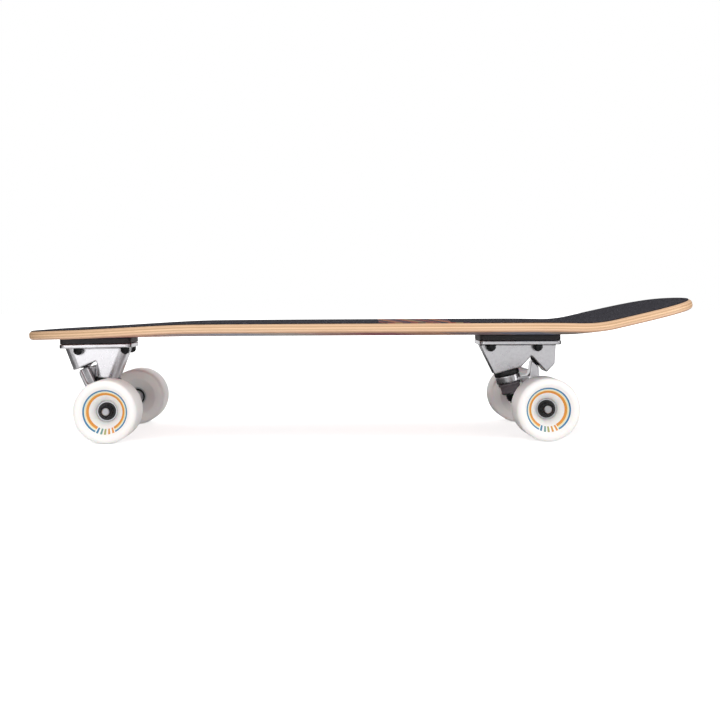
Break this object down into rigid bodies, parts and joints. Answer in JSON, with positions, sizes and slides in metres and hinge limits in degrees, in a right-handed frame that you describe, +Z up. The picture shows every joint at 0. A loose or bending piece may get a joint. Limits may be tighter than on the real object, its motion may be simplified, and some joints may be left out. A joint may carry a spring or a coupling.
{
  "type": "surfskate",
  "caption": "Surfskate: a concave maple deck with a kicked tail and dark grip, on two sprung tilting trucks with wide white urethane wheels.",
  "frame": {"origin": "on the ground under the middle of the board's length and width", "axes": "+X from the nose to the kicked tail, +Y to the right-hand side, +Z up"},
  "size_m": [0.755, 0.2492, 0.1534],
  "materials": {
    "maple": "satin",
    "grit": "matte",
    "riser_plastic": "matte",
    "cast_aluminium": "satin",
    "bushing_urethane": "satin",
    "black_steel": "satin",
    "zinc_steel": "satin",
    "bearing_shield": "satin",
    "wheel_urethane": "satin"
  },
  "bodies": {
    "board": {"deck": "maple", "grip_tape": "grit", "front_riser_pad": "riser_plastic", "front_base": "cast_aluminium", "front_pivot_cup": "bushing_urethane", "front_kingpin": "zinc_steel", "front_kingpin_nut": "black_steel", "front_board_bushing": "bushing_urethane", "front_road_bushing": "bushing_urethane", "front_cup_washer": "zinc_steel", "front_inner_left_deck_bolt": "black_steel", "front_inner_right_deck_bolt": "black_steel", "front_outer_left_deck_bolt": "black_steel", "front_outer_right_deck_bolt": "black_steel", "front_inner_left_lock_nut": "black_steel", "front_inner_right_lock_nut": "black_steel", "front_outer_left_lock_nut": "black_steel", "front_outer_right_lock_nut": "black_steel", "rear_riser_pad": "riser_plastic", "rear_base": "cast_aluminium", "rear_pivot_cup": "bushing_urethane", "rear_kingpin": "zinc_steel", "rear_kingpin_nut": "black_steel", "rear_board_bushing": "bushing_urethane", "rear_road_bushing": "bushing_urethane", "rear_cup_washer": "zinc_steel", "rear_inner_left_deck_bolt": "black_steel", "rear_inner_right_deck_bolt": "black_steel", "rear_outer_left_deck_bolt": "black_steel", "rear_outer_right_deck_bolt": "black_steel", "rear_inner_left_lock_nut": "black_steel", "rear_inner_right_lock_nut": "black_steel", "rear_outer_left_lock_nut": "black_steel", "rear_outer_right_lock_nut": "black_steel"},
    "front_truck": {"front_hanger": "cast_aluminium", "front_axle": "zinc_steel", "front_left_bearing_spacer": "zinc_steel", "front_right_bearing_spacer": "zinc_steel", "front_left_axle_nut": "black_steel", "front_right_axle_nut": "black_steel"},
    "rear_truck": {"rear_hanger": "cast_aluminium", "rear_axle": "zinc_steel", "rear_left_bearing_spacer": "zinc_steel", "rear_right_bearing_spacer": "zinc_steel", "rear_left_axle_nut": "black_steel", "rear_right_axle_nut": "black_steel"},
    "front_left_roller": {"front_left_wheel": "wheel_urethane", "front_left_inner_bearing": "bearing_shield", "front_left_outer_bearing": "bearing_shield"},
    "front_right_roller": {"front_right_wheel": "wheel_urethane", "front_right_inner_bearing": "bearing_shield", "front_right_outer_bearing": "bearing_shield"},
    "rear_left_roller": {"rear_left_wheel": "wheel_urethane", "rear_left_inner_bearing": "bearing_shield", "rear_left_outer_bearing": "bearing_shield"},
    "rear_right_roller": {"rear_right_wheel": "wheel_urethane", "rear_right_inner_bearing": "bearing_shield", "rear_right_outer_bearing": "bearing_shield"}
  },
  "joints": [
    {"name": "front_steer", "type": "hinge", "parent": "board", "child": "front_truck", "pos_m": [-0.31765, 0, 0.08215], "axis": [-0.6968, 0, 0.7172], "range_deg": [-18, 18], "stiffness_Nm_per_rad": 35, "deforming": ["front_board_bushing", "front_road_bushing"]},
    {"name": "rear_steer", "type": "hinge", "parent": "board", "child": "rear_truck", "pos_m": [0.21375, 0, 0.08312], "axis": [0.8419, 0, 0.5397], "range_deg": [-18, 18], "stiffness_Nm_per_rad": 35, "deforming": ["rear_board_bushing", "rear_road_bushing"]},
    {"name": "front_left_spin", "type": "hinge", "parent": "front_truck", "child": "front_left_roller", "pos_m": [-0.26977, -0.097, 0.034], "axis": [0, 1, 0], "continuous": true},
    {"name": "front_right_spin", "type": "hinge", "parent": "front_truck", "child": "front_right_roller", "pos_m": [-0.26977, 0.097, 0.034], "axis": [0, 1, 0], "continuous": true},
    {"name": "rear_left_spin", "type": "hinge", "parent": "rear_truck", "child": "rear_left_roller", "pos_m": [0.2021, -0.097, 0.034], "axis": [0, 1, 0], "continuous": true},
    {"name": "rear_right_spin", "type": "hinge", "parent": "rear_truck", "child": "rear_right_roller", "pos_m": [0.2021, 0.097, 0.034], "axis": [0, 1, 0], "continuous": true}
  ]
}
